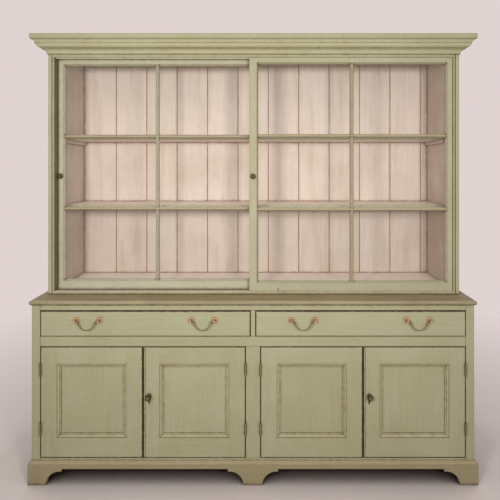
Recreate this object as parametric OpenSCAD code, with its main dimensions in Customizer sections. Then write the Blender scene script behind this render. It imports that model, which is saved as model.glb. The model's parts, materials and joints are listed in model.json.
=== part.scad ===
// Painted two-part dresser: a glazed top with two sliding doors on a base of two drawers and four doors.
// Millimetres, +Z up, the front faces -Y, the origin is on the floor under the middle.

/* [Base] */
// Width of the base carcass
base_w = 2116; // [1700:1:2400]
// Depth of the base, from its face to the back of its boards
base_d = 448; // [420:1:520]
// Height of the base carcass under the worktop
base_h = 851; // [820:1:950]
// Thickness of the carcass boards
board_t = 20; // [16:0.5:24]
// Thickness of the back boards
back_t = 12; // [8:0.5:16]
// Thickness of the face frame and of what is flush with it
frame_t = 22; // [20:0.5:26]
// Width of the outer stiles of the face frame
stile_w = 40; // [34:1:60]
// Width of the middle stile between the two cupboards
mullion_w = 69; // [56:1:90]
// Width of the post between the drawers
post_w = 22; // [21:0.5:30]
// Height of the rail over the drawers
top_rail_h = 25; // [18:1:40]
// Height of the rail between the drawers and the doors
mid_rail_h = 48; // [40:1:60]
// Height of the rail under the doors
low_rail_h = 10; // [8:0.5:16]
// Height of the drawer openings
drawer_open_h = 125; // [115:1:150]

/* [Worktop] */
// Thickness of the worktop
top_t = 22; // [18:0.5:30]
// Overhang of the worktop at the front and the sides
top_over = 9; // [9:0.5:20]
// Radius of the ovolo on the worktop's edge
edge_r = 8; // [5:0.5:8.5]
// Height of the bead under the worktop's edge
edge_bead_h = 6; // [4:0.5:8]

/* [Plinth] */
// Height of the plinth
plinth_h = 110; // [96:1:140]
// Projection of the plinth before the carcass
plinth_over = 13; // [8:0.5:18]
// Thickness of the plinth boards
plinth_t = 22; // [20:0.5:28]
// Height of the sloped top edge of the plinth
plinth_slope_h = 11; // [6:0.5:16]
// Width of the corner feet
foot_w = 87; // [60:1:130]
// Width of the middle foot
mid_foot_w = 91; // [60:1:140]
// Radius of the bracket curve beside a foot
foot_r = 64; // [40:1:70]
// Flat at the end of the bracket curve
foot_flat = 10; // [4:0.5:20]
// Rise of the step after that flat
foot_step = 12; // [4:0.5:14]

/* [Glazed top] */
// Width of the upper case
case_w = 2062; // [1640:1:2080]
// Set-back of the upper case from the face of the base
case_back = 91; // [60:1:110]
// Height of the upper case, cornice included
case_h = 1290; // [1100:1:1400]
// Thickness of the floor board of the upper case
sill_t = 15; // [12:0.5:22]
// Width of the linings beside the sliding doors
lining_w = 11; // [8:0.5:20]
// Depth of those linings and of the head and sill tracks
lining_d = 68; // [67:0.5:80]
// Thickness of the head board over the sliding doors
head_t = 22; // [18:0.5:30]
// Height of the head board that shows under the cornice
head_show = 14; // [8:0.5:20]
// Width of a back board, seam to seam
back_pitch = 179; // [120:1:240]
// Width of the first back board from the left
back_first = 191; // [120:1:240]
// Thickness of the shelves
shelf_t = 20; // [16:0.5:26]
// Gap between the sliding doors and the front edge of the shelves
shelf_back = 60; // [4:0.5:80]

/* [Cornice] */
// Height of the cornice
cornice_h = 86; // [80:1:110]
// Projection of the neck at the foot of the cornice
neck_p = 5; // [3:0.5:12]
// Height of that neck
neck_h = 5; // [3:0.5:8]
// Radius of the lower cove
cove_r = 17; // [10:0.5:18]
// Projection of each fillet past the curve below it
fillet_p = 2; // [1.5:0.5:5]
// Height of each fillet
fillet_h = 4; // [3:0.5:6]
// Radius of the ovolo
ovolo_r = 18; // [10:0.5:19]
// Radius of the upper cove
top_cove_r = 14; // [8:0.5:15]
// Projection of the top band past the upper cove
band_p = 2; // [1:0.5:6]

/* [Sliding doors] */
// Thickness of a sliding door
slide_t = 28; // [24:0.5:29]
// Gap between the front and the back sliding door
slide_gap = 6; // [4:0.5:7]
// Set-back of the front sliding door from the face of the case
slide_in = 2; // [1:0.5:4]
// Overlap of the two closed sliding doors
slide_lap = 44; // [37:1:60]
// Width of a sliding door's outer stile
slide_stile = 33; // [28:1:44]
// Width of a sliding door's stile at the meeting of the two doors
slide_meet = 45; // [38:1:56]
// Height of a sliding door's top rail
slide_top = 33; // [26:1:50]
// Height of a sliding door's bottom rail
slide_low = 49; // [30:1:70]
// Width of the upright glazing bar
bar_w = 20; // [16:1:26]
// Height of the level glazing bars
bar_h = 18; // [15:1:26]
// Width of the bevel round each pane
bevel_w = 7; // [4:0.5:7.5]
// Depth of the glass behind the face of its door
glass_in = 15; // [12:0.5:16]
// Thickness of the glass
glass_t = 3; // [2:0.5:4]
// Width of the rebate that takes the glass
rebate_w = 6; // [4:0.5:6.5]
// Width of the runner strips in the head and the sill
track_w = 6; // [4:0.5:8]
// Height of the runner strips
track_h = 5; // [3:0.5:7]
// Radius of the peg hole in the front sliding door
peg_r = 3.5; // [2:0.5:4]
// Distance of the peg hole from that door's meeting edge
peg_in = 145; // [60:1:300]
// Height of the peg hole over the foot of its door
peg_up = 9; // [8:0.5:20]

/* [Cupboard doors] */
// Width of a cupboard door's stiles
leaf_stile = 78; // [60:1:100]
// Height of a cupboard door's top rail
leaf_top = 81; // [60:1:110]
// Height of a cupboard door's bottom rail
leaf_low = 95; // [60:1:120]
// Thickness of a cupboard door's panel
panel_t = 8; // [6:0.5:9]
// Depth of the panel behind the face of its door
panel_in = 9; // [8:0.5:10]
// Depth of the groove that takes the panel
groove_d = 8; // [5:0.5:12]
// Width of the moulding round the panel
mould_w = 18; // [14:0.5:24]
// Radius of that moulding's ovolo
mould_r = 7; // [5:0.5:7]
// Width of the bead on the meeting edge of a right-hand door
bead_w = 9; // [5:0.5:11]
// Gap on the hinge side of a cupboard door
hinge_gap = 2.4; // [2.4:0.1:4]
// Gap between the two doors of a cupboard
meet_gap = 3; // [2.5:0.1:5]
// Gap over and under a cupboard door
leaf_gap = 2; // [1:0.1:4]

/* [Hinges and locks] */
// Height of a butt hinge
hinge_h = 62; // [50:1:80]
// Radius of a hinge knuckle
knuckle_r = 4; // [3:0.1:5]
// Radius of a hinge pin
pin_r = 1.6; // [1.2:0.1:2]
// Thickness of a hinge plate
plate_t = 1; // [0.6:0.1:1.1]
// Width of a hinge plate
plate_w = 18; // [12:0.5:21]
// Height of the upper hinges' middle under the top of the door
hinge_top = 109; // [60:1:150]
// Height of the lower hinges' middle over the foot of the door
hinge_low = 137; // [60:1:160]
// Width of a lock case
lock_w = 56; // [40:1:70]
// Height of a lock case
lock_h = 44; // [36:1:60]
// Thickness of a lock case
lock_t = 14; // [11:0.5:18]
// Set-back of a lock case from the meeting edge of its door
lock_in = 7; // [5:0.5:10]
// Radius of a keyhole's eye
key_r = 4.5; // [2.5:0.5:5]
// Height of a lock bolt
bolt_h = 14; // [8:0.5:18]
// Thickness of a lock bolt
bolt_t = 6; // [4:0.5:7]
// Length of a lock bolt
bolt_l = 34; // [24:1:38]

/* [Knobs and handles] */
// Radius of a cupboard knob
knob_r = 14.5; // [10:0.5:18]
// Projection of a cupboard knob
knob_p = 30; // [26:0.5:40]
// Distance of the knob from the meeting edge of its door
knob_in = 28; // [22:0.5:40]
// Height of the cupboard knobs over the floor
knob_z = 418; // [380:1:440]
// Distance of the keyhole under the knob
key_drop = 30; // [24:1:40]
// Radius of a sliding door's knob
pull_r = 12; // [8:0.5:14]
// Projection of a sliding door's knob
pull_p = 14; // [12:0.5:16]
// Height of the sliding doors' knobs over the floor
pull_z = 1465; // [1400:1:1560]
// Distance of a handle's middle from the middle of its drawer
handle_x = 275; // [150:1:300]
// Height of the handles over the middle of the drawer
handle_up = 18; // [5:0.5:24]
// Distance of a handle's post from the handle's middle
post_x = 56; // [54:0.5:70]
// Radius of a handle's rose
rose_r = 14; // [9:0.5:16]
// Distance of a bail's axis from the drawer front
bail_out = 18; // [15:0.5:20]
// Radius of the balls that hold a bail
ball_r = 6; // [5:0.1:7]
// Radius of the bail's wire
bail_wire = 2.4; // [1.8:0.1:2.8]
// Radius of the bail's bow
bail_r = 38; // [30:0.5:38]
// Radius of the bends at the bail's ends
bail_bend = 6; // [4:0.5:7]

/* [Drawers] */
// Depth of a drawer box behind its front
drawer_d = 392; // [300:1:400]
// Thickness of the drawer sides
drawer_side_t = 12; // [9:0.5:16]
// Height of the drawer sides
drawer_side_h = 104; // [80:1:106]
// Thickness of the drawer bottom
drawer_floor_t = 8; // [5:0.5:10]
// Gap over a drawer front
drawer_gap_top = 3; // [1.5:0.1:5]
// Gap beside a drawer front
drawer_gap_side = 1.5; // [1:0.1:4]
// Width of the outer drawer runners
runner_w = 40; // [37:1:60]
// Height of the runners, kickers and cleats
runner_h = 20; // [14:1:28]

/* [Hidden] */
$fn = 64;
// Fine fits and overruns
joint_gap = 0.15;
fit = 0.05;
slack = 0.3;
cut = 1;
drawer_gap_low = 1;
knuckle_count = 5;

// Places of the main planes
deep = knob_p + base_d;
face_y = knob_p - deep / 2;
back_y = face_y + base_d;
lay_y = back_y - back_t;
case_y = face_y + case_back;
work_z = base_h + top_t;
side_x = base_w / 2;
inner_x = side_x - board_t;
open_x = side_x - stile_w;
low_z = plinth_h + low_rail_h;
drawer_top_z = base_h - top_rail_h;
drawer_low_z = drawer_top_z - drawer_open_h;
door_top_z = drawer_low_z - mid_rail_h;

// Cupboard doors: 1 and 3 hang on their left edge, 2 and 4 on their right edge
leaf_open_w = open_x - mullion_w / 2;
leaf_w = (leaf_open_w - 2 * hinge_gap - meet_gap) / 2;
leaf_h = door_top_z - low_z - 2 * leaf_gap;
leaf_z = low_z + leaf_gap;
leaf_axis_x = [hinge_gap / 2 - open_x, -mullion_w / 2 - hinge_gap / 2,
    mullion_w / 2 + hinge_gap / 2, open_x - hinge_gap / 2];
leaf_way = [1, -1, 1, -1];
axis_out = knuckle_r + slack;
knuckle_l = hinge_h / knuckle_count;
hinge_z = [leaf_z + hinge_low, leaf_z + leaf_h - hinge_top];
key_z = knob_z - key_drop;
mould_h = panel_in - cut;
mould_lip = mould_h - mould_r + cut;
bead_cut = 1.6;

// Drawers
drawer_w = open_x - post_w / 2 - 2 * drawer_gap_side;
drawer_h = drawer_open_h - drawer_gap_top - drawer_gap_low;
drawer_x = (open_x + post_w / 2) / 2;
drawer_z = drawer_low_z + drawer_gap_low;
drawer_box_w = drawer_w - 2 * drawer_gap_side;
drawer_side_z = drawer_low_z + slack;
floor_up = 6;
handle_z = drawer_z + drawer_h / 2 + handle_up;
axle_l = post_x - bail_r - bail_bend + ball_r / 2;
rose_t = 3;
neck_r = 4;
divider_t = board_t - joint_gap;

// Upper case and sliding doors
case_x = case_w / 2;
case_in_x = case_x - board_t;
lining_x = case_in_x - lining_w;
sill_z = work_z + sill_t;
case_top_z = work_z + case_h;
cornice_z = case_top_z - cornice_h;
head_z = cornice_z - head_show;
slide_gap_low = 1;
slide_play = 2;
slide_w = lining_x - slide_play + slide_lap / 2;
slide_z = sill_z + slide_gap_low;
slide_h = head_z - slide_gap_low - slide_z;
front_slide_y = case_y + slide_in;
back_slide_y = front_slide_y + slide_t + slide_gap;
pane_w = (slide_w - slide_stile - slide_meet - bar_w) / 2;
pane_h = (slide_h - slide_top - slide_low - 2 * bar_h) / 3;
bevel_d = glass_in - 2;
front_slide_x = -slide_lap / 2;
back_slide_x = slide_lap / 2 - slide_w;
bar_z = [for (i = [1, 2]) slide_z + slide_low + i * pane_h + (i - 0.5) * bar_h];
shelf_y = case_y + lining_d + shelf_back;
cleat_w = 15;
seam_w = 4;
seam_d = 3;
cupboard_shelf_z = (low_z + door_top_z) / 2;
cupboard_shelf_y = face_y + frame_t + lock_t + cleat_w;

// Plinth
plinth_in_x = side_x + plinth_over - plinth_t;
plinth_in_y = face_y - plinth_over + plinth_t;
plinth_out_x = side_x + plinth_over;
plinth_edge_d = plinth_t - plinth_over;

// Worktop edge: an ovolo over a flat nose over a set-back bead
nose_top = top_t - edge_r;
bead_r = edge_bead_h / 2;

// Cornice, from its foot up
cove_p = neck_p + cove_r;
ovolo_p = cove_p + fillet_p;
upper_p = ovolo_p + ovolo_r + fillet_p;
cornice_p = upper_p + top_cove_r + band_p;
cove_top = neck_h + cove_r;
ovolo_foot = cove_top + fillet_h;
ovolo_top = ovolo_foot + ovolo_r;
upper_foot = ovolo_top + fillet_h;
band_foot = upper_foot + top_cove_r;

// A board between two planes on each axis
module board(x, y, z) {
    translate([x[0], y[0], z[0]]) cube([x[1] - x[0], y[1] - y[0], z[1] - z[0]]);
}

// The same thing on the left and on the right
module both_sides() {
    children();
    mirror([1, 0, 0]) children();
}

// A moulding of one profile along the front and both ends, mitred at the corners.
// The profile's x is the projection and its y the height.
module wrap_run(w, d, p) {
    h = 2 * case_h;
    intersection() {
        translate([w / 2 + p, 0, 0]) rotate([0, 0, -90]) rotate([90, 0, 0])
            linear_extrude(w + 2 * p) children();
        linear_extrude(h) polygon([[joint_gap - w / 2 - p, -p], [w / 2 + p - joint_gap, -p],
            [w / 2 - joint_gap, 0], [joint_gap - w / 2, 0]]);
    }
    both_sides() intersection() {
        translate([w / 2, d, 0]) rotate([90, 0, 0]) linear_extrude(d + p) children();
        linear_extrude(h) polygon([[w / 2, 0], [w / 2 + p, -p], [w / 2 + p, d], [w / 2, d]]);
    }
}

// One side of a mitred frame moulding that lies on a face, its outer edge drop under the middle.
// The profile's x runs in over the face and its y stands out of it.
module frame_run(length, drop, w) {
    intersection() {
        translate([-length / 2, 0, -drop]) rotate([180, 0, 0]) rotate([0, 90, 0])
            linear_extrude(length) children();
        translate([0, cut, 0]) rotate([90, 0, 0]) linear_extrude(w + cut) polygon([
            [joint_gap - length / 2, -drop], [length / 2 - joint_gap, -drop],
            [length / 2 - w - joint_gap, w - drop], [joint_gap + w - length / 2, w - drop]]);
    }
}

// A knob turned on an axis that points out of a face
module turned_knob(r, p) {
    edge = p / 6;
    flat = r - edge;
    dome = edge / 2 + flat * flat / (2 * edge);
    rotate([90, 0, 0]) rotate_extrude() {
        square([r * 0.7, p / 10]);
        square([r * 0.42, p - edge]);
        translate([0, p - 3 * edge]) square([flat, 2 * edge]);
        translate([flat, p - 2 * edge]) circle(edge);
        intersection() {
            translate([0, p - dome]) circle(dome);
            translate([0, p - edge]) square([flat, edge]);
        }
    }
}

module bracket_arch(x0, x1) {
    for (x = [x0 + foot_r, x1 - foot_r]) translate([x, 0]) circle(foot_r);
    translate([x0 + foot_r, -cut]) square([x1 - x0 - 2 * foot_r, foot_r + cut]);
    translate([x0 + foot_r + foot_flat, -cut])
        square([x1 - x0 - 2 * (foot_r + foot_flat), foot_r + foot_step + cut]);
}

module plinth() {
    inner_d = back_y - plinth_in_y;
    color("#9aa37b") difference() {
        translate([0, plinth_in_y, 0]) wrap_run(2 * plinth_in_x, inner_d, plinth_t) polygon([
            [0, 0], [plinth_t, 0], [plinth_t, plinth_h - plinth_slope_h],
            [plinth_edge_d, plinth_h], [0, plinth_h]]);
        both_sides() translate([0, plinth_in_y + cut, 0]) rotate([90, 0, 0])
            linear_extrude(plinth_t + 2 * cut) bracket_arch(mid_foot_w / 2, plinth_out_x - foot_w);
        translate([-plinth_out_x - cut, 0, 0]) rotate([90, 0, 90])
            linear_extrude(2 * (plinth_out_x + cut))
            bracket_arch(plinth_in_y - plinth_t + foot_w, back_y - foot_w);
    }
}

module base_sides() {
    color("#a3aa82") both_sides()
        board([inner_x, side_x], [face_y + frame_t, back_y], [plinth_h, base_h]);
}

module base_bottom() {
    color("#b59a78") board([-inner_x, inner_x], [face_y + frame_t, lay_y], [low_z - board_t, low_z]);
}

// Upright boards side by side, with a sunk seam line on their front
module seamed_boards(half_w, first_w, pitch, z) {
    seams = [for (x = [first_w - half_w : pitch : half_w - seam_w]) x];
    difference() {
        board([-half_w, half_w], [lay_y, back_y], z);
        for (x = seams) {
            board([x, x + joint_gap], [lay_y - cut, back_y + cut], [z[0] - cut, z[1] + cut]);
            board([x - seam_w / 2, x + seam_w / 2], [lay_y - cut, lay_y + seam_d],
                [z[0] - cut, z[1] + cut]);
        }
    }
}

module base_back_boards() {
    color("#c9b291") seamed_boards(inner_x, back_first, back_pitch, [plinth_h, base_h]);
}

module base_divider() {
    color("#b59a78") board([-divider_t / 2, divider_t / 2], [face_y + frame_t, lay_y], [low_z, base_h]);
}

module face_stiles() {
    y = [face_y, face_y + frame_t];
    color("#a3aa82") {
        both_sides() board([open_x, side_x], y, [plinth_h, base_h]);
        board([-mullion_w / 2, mullion_w / 2], y, [low_z, door_top_z]);
        board([-post_w / 2, post_w / 2], y, [drawer_low_z, drawer_top_z]);
    }
}

module face_rails() {
    y = [face_y, face_y + frame_t];
    color("#a3aa82") for (z = [[plinth_h, low_z], [door_top_z, drawer_low_z], [drawer_top_z, base_h]])
        board([-open_x, open_x], y, z);
}

module drawer_runners() {
    y = [face_y + frame_t, lay_y];
    kicker_z = drawer_side_z + drawer_side_h + leaf_gap;
    color("#b59a78") both_sides() {
        board([inner_x - runner_w, inner_x], y, [drawer_low_z - runner_h, drawer_low_z]);
        board([divider_t / 2, divider_t / 2 + runner_w], y, [drawer_low_z - runner_h, drawer_low_z]);
        board([inner_x - runner_w, inner_x], y, [kicker_z, base_h]);
        board([divider_t / 2, divider_t / 2 + runner_w], y, [kicker_z, base_h]);
    }
}

module cupboard_shelves() {
    color("#b59a78") both_sides() board([divider_t / 2 + slack, inner_x - slack],
        [cupboard_shelf_y, lay_y - slack], [cupboard_shelf_z, cupboard_shelf_z + shelf_t]);
}

module shelf_cleats() {
    color("#b59a78") both_sides() {
        for (x = [[divider_t / 2, divider_t / 2 + cleat_w], [inner_x - cleat_w, inner_x]])
            board(x, [cupboard_shelf_y, lay_y], [cupboard_shelf_z - runner_h, cupboard_shelf_z]);
        for (z = bar_z) board([case_in_x - cleat_w, case_in_x], [shelf_y, lay_y],
            [z - shelf_t / 2 - runner_h, z - shelf_t / 2]);
    }
}

module worktop() {
    color("#8f7b60") {
        board([-side_x, side_x], [face_y, back_y], [base_h, work_z]);
        translate([0, face_y, base_h]) wrap_run(base_w, base_d, top_over) {
            square([top_over - edge_bead_h, nose_top]);
            square([top_over - edge_r, top_t]);
            translate([0, edge_bead_h]) square([top_over, nose_top - edge_bead_h]);
            intersection() {
                translate([top_over - edge_r, nose_top]) circle(edge_r);
                translate([0, nose_top - cut]) square([top_over, edge_r + cut]);
            }
            translate([top_over - edge_bead_h, bead_r]) circle(bead_r);
        }
    }
}

// One butt hinge on its pin. The door's half has the pin and the even knuckles.
// The way is 1 where the door lies to the right of the pin.
module hinge_half(is_door, way) {
    knuckles = is_door ? [1, 3] : [0, 2, 4];
    plate_x = is_door ? hinge_gap / 2 - plate_t : -hinge_gap / 2;
    mirror([way > 0 ? 0 : 1, 0, 0]) difference() {
        union() {
            for (k = knuckles) translate([0, 0, k * knuckle_l - hinge_h / 2 + joint_gap]) {
                cylinder(h = knuckle_l - 2 * joint_gap, r = knuckle_r);
                translate([plate_x, 0, 0]) cube([plate_t, axis_out + slack, knuckle_l - 2 * joint_gap]);
            }
            translate([plate_x, axis_out + joint_gap, -hinge_h / 2]) cube([plate_t, plate_w, hinge_h]);
            if (is_door) translate([0, 0, -hinge_h / 2]) cylinder(h = hinge_h, r = pin_r);
        }
        if (!is_door) translate([0, 0, -hinge_h / 2 - cut])
            cylinder(h = hinge_h + 2 * cut, r = pin_r + fit);
    }
}

module frame_hinges() {
    color("#7c6b3f") for (i = [0 : 3]) for (z = hinge_z)
        translate([leaf_axis_x[i], face_y - axis_out, z]) hinge_half(false, leaf_way[i]);
}

module leaf_hinges(i) {
    color("#7c6b3f") for (z = hinge_z)
        translate([leaf_axis_x[i], face_y - axis_out, z]) hinge_half(true, leaf_way[i]);
}

// What belongs to a cupboard door, with the door's hinge edge at x = 0 and its foot at z = 0
module at_leaf(i) {
    translate([leaf_axis_x[i] + leaf_way[i] * hinge_gap / 2, face_y, leaf_z])
        mirror([leaf_way[i] > 0 ? 0 : 1, 0, 0]) children();
}

module leaf_frame(i) {
    top_z = leaf_h - leaf_top;
    color("#a3aa82") at_leaf(i) difference() {
        board([0, leaf_w], [0, frame_t], [0, leaf_h]);
        board([leaf_stile, leaf_w - leaf_stile], [-cut, frame_t + cut], [leaf_low, top_z]);
        board([leaf_stile - groove_d, leaf_w - leaf_stile + groove_d], [panel_in, panel_in + panel_t],
            [leaf_low - groove_d, top_z + groove_d]);
        for (x = [leaf_stile, leaf_w - leaf_stile])
            for (z = [[-cut, leaf_low + cut], [top_z - cut, leaf_h + cut]])
                board([x - joint_gap / 2, x + joint_gap / 2], [-cut, frame_t + cut], z);
        if (leaf_way[i] < 0) board([leaf_w - bead_w - bead_cut, leaf_w - bead_w], [-cut, bead_cut],
            [-cut, leaf_h + cut]);
        if (leaf_way[i] < 0) translate([leaf_w - knob_in, 0, key_z - leaf_z]) keyhole(frame_t);
    }
}

// A keyhole through a thickness
module keyhole(depth) {
    translate([0, depth + cut, 0]) rotate([90, 0, 0]) linear_extrude(depth + 2 * cut) {
        circle(key_r);
        translate([-key_r / 2, -2.4 * key_r]) square([key_r, 2.4 * key_r]);
    }
}

module leaf_panel(i) {
    w = leaf_w - 2 * leaf_stile;
    h = leaf_h - leaf_low - leaf_top;
    color("#a3aa82") at_leaf(i) translate([leaf_w / 2, panel_in, leaf_low + h / 2]) {
        board([slack - w / 2 - groove_d, w / 2 + groove_d - slack], [0, panel_t],
            [slack - h / 2 - groove_d, h / 2 + groove_d - slack]);
        translate([0, -joint_gap, 0]) {
            for (a = [0, 180]) rotate([0, a, 0]) frame_run(w, h / 2, mould_w) mould_profile();
            for (a = [90, 270]) rotate([0, a, 0]) frame_run(h, w / 2, mould_w) mould_profile();
        }
    }
}

module mould_profile() {
    step = mould_h - mould_r;
    square([mould_w, step + cut]);
    square([step + 2 * cut, mould_h]);
    intersection() {
        translate([step + 2 * cut, 0]) circle(mould_h);
        square([mould_w, mould_h]);
    }
}

module leaf_knob(i) {
    color("#5b4a2c") at_leaf(i) translate([leaf_w - knob_in, 0, knob_z - leaf_z])
        turned_knob(knob_r, knob_p);
}

// The lock case on the back of a door, round its bolt, with the keyhole through it
module leaf_lock(i) {
    mid_y = frame_t + lock_t / 2;
    color("#6a5a38") at_leaf(i) translate([leaf_w, 0, key_z - leaf_z]) difference() {
        board([-lock_w, -lock_in], [frame_t, frame_t + lock_t], [-lock_h / 2, lock_h / 2]);
        translate([0, mid_y, lock_h / 4]) board([-lock_w + lock_in, cut],
            [-bolt_t / 2 - slack, bolt_t / 2 + slack], [-bolt_h / 2 - slack, bolt_h / 2 + slack]);
        translate([-knob_in, 0, 0]) keyhole(frame_t + lock_t / 4);
    }
}

module leaf_bolt(i) {
    color("#b08d4a") at_leaf(i) translate([leaf_w - lock_in - slack, frame_t + lock_t / 2,
        key_z - leaf_z + lock_h / 4])
        board([-bolt_l, 0], [-bolt_t / 2, bolt_t / 2], [-bolt_h / 2, bolt_h / 2]);
}

module at_drawer(i) {
    translate([(i == 0 ? -1 : 1) * drawer_x, face_y, drawer_z]) children();
}

module drawer_front(i) {
    color("#a3aa82") at_drawer(i) board([-drawer_w / 2, drawer_w / 2], [0, frame_t], [0, drawer_h]);
}

module drawer_box(i) {
    z0 = drawer_side_z - drawer_z;
    z = [z0, z0 + drawer_side_h];
    half = drawer_box_w / 2;
    inner = half - drawer_side_t - joint_gap;
    y1 = frame_t + drawer_d;
    color("#c7a878") at_drawer(i) {
        both_sides() board([half - drawer_side_t, half], [frame_t, y1], z);
        board([-inner, inner], [y1 - drawer_side_t, y1], z);
        board([-inner, inner], [frame_t, y1 - drawer_side_t - joint_gap],
            [z0 + floor_up, z0 + floor_up + drawer_floor_t]);
    }
}

module at_handle(i, s) {
    at_drawer(i) translate([s * handle_x, -bail_out, handle_z - drawer_z]) children();
}

module handle_posts() {
    both_sides() translate([post_x, 0, 0]) difference() {
        translate([0, bail_out, 0]) rotate([90, 0, 0]) rotate_extrude() {
            square([rose_r - rose_t / 2, rose_t]);
            translate([rose_r - rose_t / 2, rose_t / 2]) circle(rose_t / 2);
            square([neck_r, bail_out]);
            intersection() {
                translate([0, bail_out]) circle(ball_r);
                square([ball_r, bail_out + ball_r]);
            }
        }
        rotate([0, 90, 0]) cylinder(h = 3 * ball_r, r = bail_wire + fit, center = true);
    }
}

module drawer_posts(i) {
    color("#b8863b") for (s = [-1, 1]) at_handle(i, s) handle_posts();
}

module bail(i, s) {
    color("#8a6a34") at_handle(i, s) rotate([90, 0, 0]) {
        translate([0, -bail_bend, 0]) rotate([0, 0, 180]) rotate_extrude(angle = 180)
            translate([bail_r, 0]) circle(bail_wire);
        both_sides() {
            translate([bail_r + bail_bend, -bail_bend, 0]) rotate([0, 0, 90]) rotate_extrude(angle = 90)
                translate([bail_bend, 0]) circle(bail_wire);
            translate([bail_r + bail_bend, 0, 0]) rotate([0, 90, 0]) cylinder(h = axle_l, r = bail_wire);
        }
    }
}

module case_sides() {
    color("#a3aa82") both_sides() board([case_in_x, case_x], [case_y, back_y], [work_z, case_top_z]);
}

module case_linings() {
    color("#a3aa82") both_sides() board([lining_x, case_in_x], [case_y, case_y + lining_d], [sill_z, head_z]);
}

module case_floor() {
    color("#a3aa82") board([-case_in_x, case_in_x], [case_y, lay_y], [work_z, sill_z]);
}

module case_head() {
    color("#a3aa82") board([-case_in_x, case_in_x], [case_y, case_y + lining_d], [head_z, head_z + head_t]);
}

module case_top() {
    color("#9c8672") board([-case_in_x, case_in_x], [case_y + board_t, lay_y],
        [case_top_z - board_t, case_top_z]);
}

module case_back_boards() {
    color("#d8c8b4") seamed_boards(case_in_x, back_first, back_pitch, [work_z, case_top_z]);
}

module case_shelves() {
    color("#a89f80") for (z = bar_z) board([slack - case_in_x, case_in_x - slack],
        [shelf_y, lay_y - slack], [z - shelf_t / 2, z + shelf_t / 2]);
}

module cornice_backing() {
    color("#a3aa82") board([-case_in_x, case_in_x], [case_y, case_y + board_t],
        [head_z + head_t, case_top_z]);
}

module cornice() {
    color("#a3aa82") translate([0, case_y, cornice_z]) wrap_run(case_w, back_y - case_y, cornice_p) {
        square([neck_p, neck_h]);
        difference() {
            square([cove_p, cove_top]);
            translate([cove_p, neck_h]) circle(cove_r);
            translate([neck_p, -cut]) square([cornice_p, neck_h + cut]);
        }
        translate([0, cove_top]) square([ovolo_p, fillet_h]);
        translate([0, ovolo_foot]) square([ovolo_p, ovolo_r]);
        intersection() {
            translate([ovolo_p, ovolo_top]) circle(ovolo_r);
            translate([0, ovolo_foot]) square([ovolo_p + ovolo_r, ovolo_r]);
        }
        translate([0, ovolo_top]) square([upper_p, fillet_h]);
        difference() {
            translate([0, upper_foot]) square([upper_p + top_cove_r, top_cove_r]);
            translate([upper_p + top_cove_r, upper_foot]) circle(top_cove_r);
        }
        translate([0, band_foot]) square([cornice_p, cornice_h - band_foot]);
    }
}

module slide_tracks() {
    color("#7d6a4c") for (y = [front_slide_y, back_slide_y])
        for (z = [[sill_z, sill_z + track_h], [head_z - track_h, head_z]])
            board([-lining_x, lining_x], [y + (slide_t - track_w) / 2, y + (slide_t + track_w) / 2], z);
}

// Places something at each pane's lower left corner of a sliding door with this left stile
module each_pane(left_w) {
    for (c = [0, 1]) for (r = [0 : 2])
        translate([left_w + c * (pane_w + bar_w), 0, slide_low + r * (pane_h + bar_h)]) children();
}

// The section of a pane's bevelled opening across a width
module bevel_section(w) {
    reach = bevel_w * (bevel_d + cut) / bevel_d;
    polygon([[0, bevel_d], [-reach, -cut], [w + reach, -cut], [w, bevel_d]]);
}

// A pane's bevelled opening, widest at the face of the door
module bevel_cutter() {
    over = 2 * bevel_w;
    intersection() {
        translate([0, 0, -over]) linear_extrude(pane_h + 2 * over) bevel_section(pane_w);
        translate([pane_w + over, 0, 0]) rotate([0, -90, 0])
            linear_extrude(pane_w + 2 * over) bevel_section(pane_h);
    }
}

module slide_frame(x, y, left_w, pegged = false) {
    bar_x = left_w + pane_w;
    right_x = bar_x + bar_w + pane_w;
    rail_z = slide_h - slide_top;
    through = [-cut, slide_t + cut];
    slot = track_w + 2 * slack;
    slot_h = track_h - slide_gap_low + slack;
    color("#a3aa82") translate([x, y, slide_z]) difference() {
        board([0, slide_w], [0, slide_t], [0, slide_h]);
        each_pane(left_w) {
            board([0, pane_w], through, [0, pane_h]);
            board([-rebate_w, pane_w + rebate_w], [glass_in, slide_t + cut], [-rebate_w, pane_h + rebate_w]);
            bevel_cutter();
        }
        for (z = [[-cut, slot_h], [slide_h - slot_h, slide_h + cut]])
            board([-cut, slide_w + cut], [(slide_t - slot) / 2, (slide_t + slot) / 2], z);
        for (s = [left_w, right_x])
            board([s - joint_gap / 2, s + joint_gap / 2], through, [-cut, slide_h + cut]);
        for (s = [bar_x, bar_x + bar_w])
            board([s - joint_gap / 2, s + joint_gap / 2], through, [slide_low, rail_z]);
        for (z = [slide_low, rail_z])
            board([bar_x, bar_x + bar_w], through, [z - joint_gap / 2, z + joint_gap / 2]);
        if (pegged) translate([peg_in, slide_t / 4, peg_up]) rotate([90, 0, 0])
            cylinder(h = slide_t, r = peg_r);
    }
}

module slide_glass(x, y, left_w) {
    edge = rebate_w - slack;
    color([0.8, 0.88, 0.86, 0.35]) translate([x, y + glass_in, slide_z]) each_pane(left_w)
        board([-edge, pane_w + edge], [0, glass_t], [-edge, pane_h + edge]);
}

module slide_knob(x, y, left_w) {
    color("#5b4a2c") translate([x + (left_w - bevel_w) / 2, y, pull_z]) turned_knob(pull_r, pull_p);
}

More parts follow.
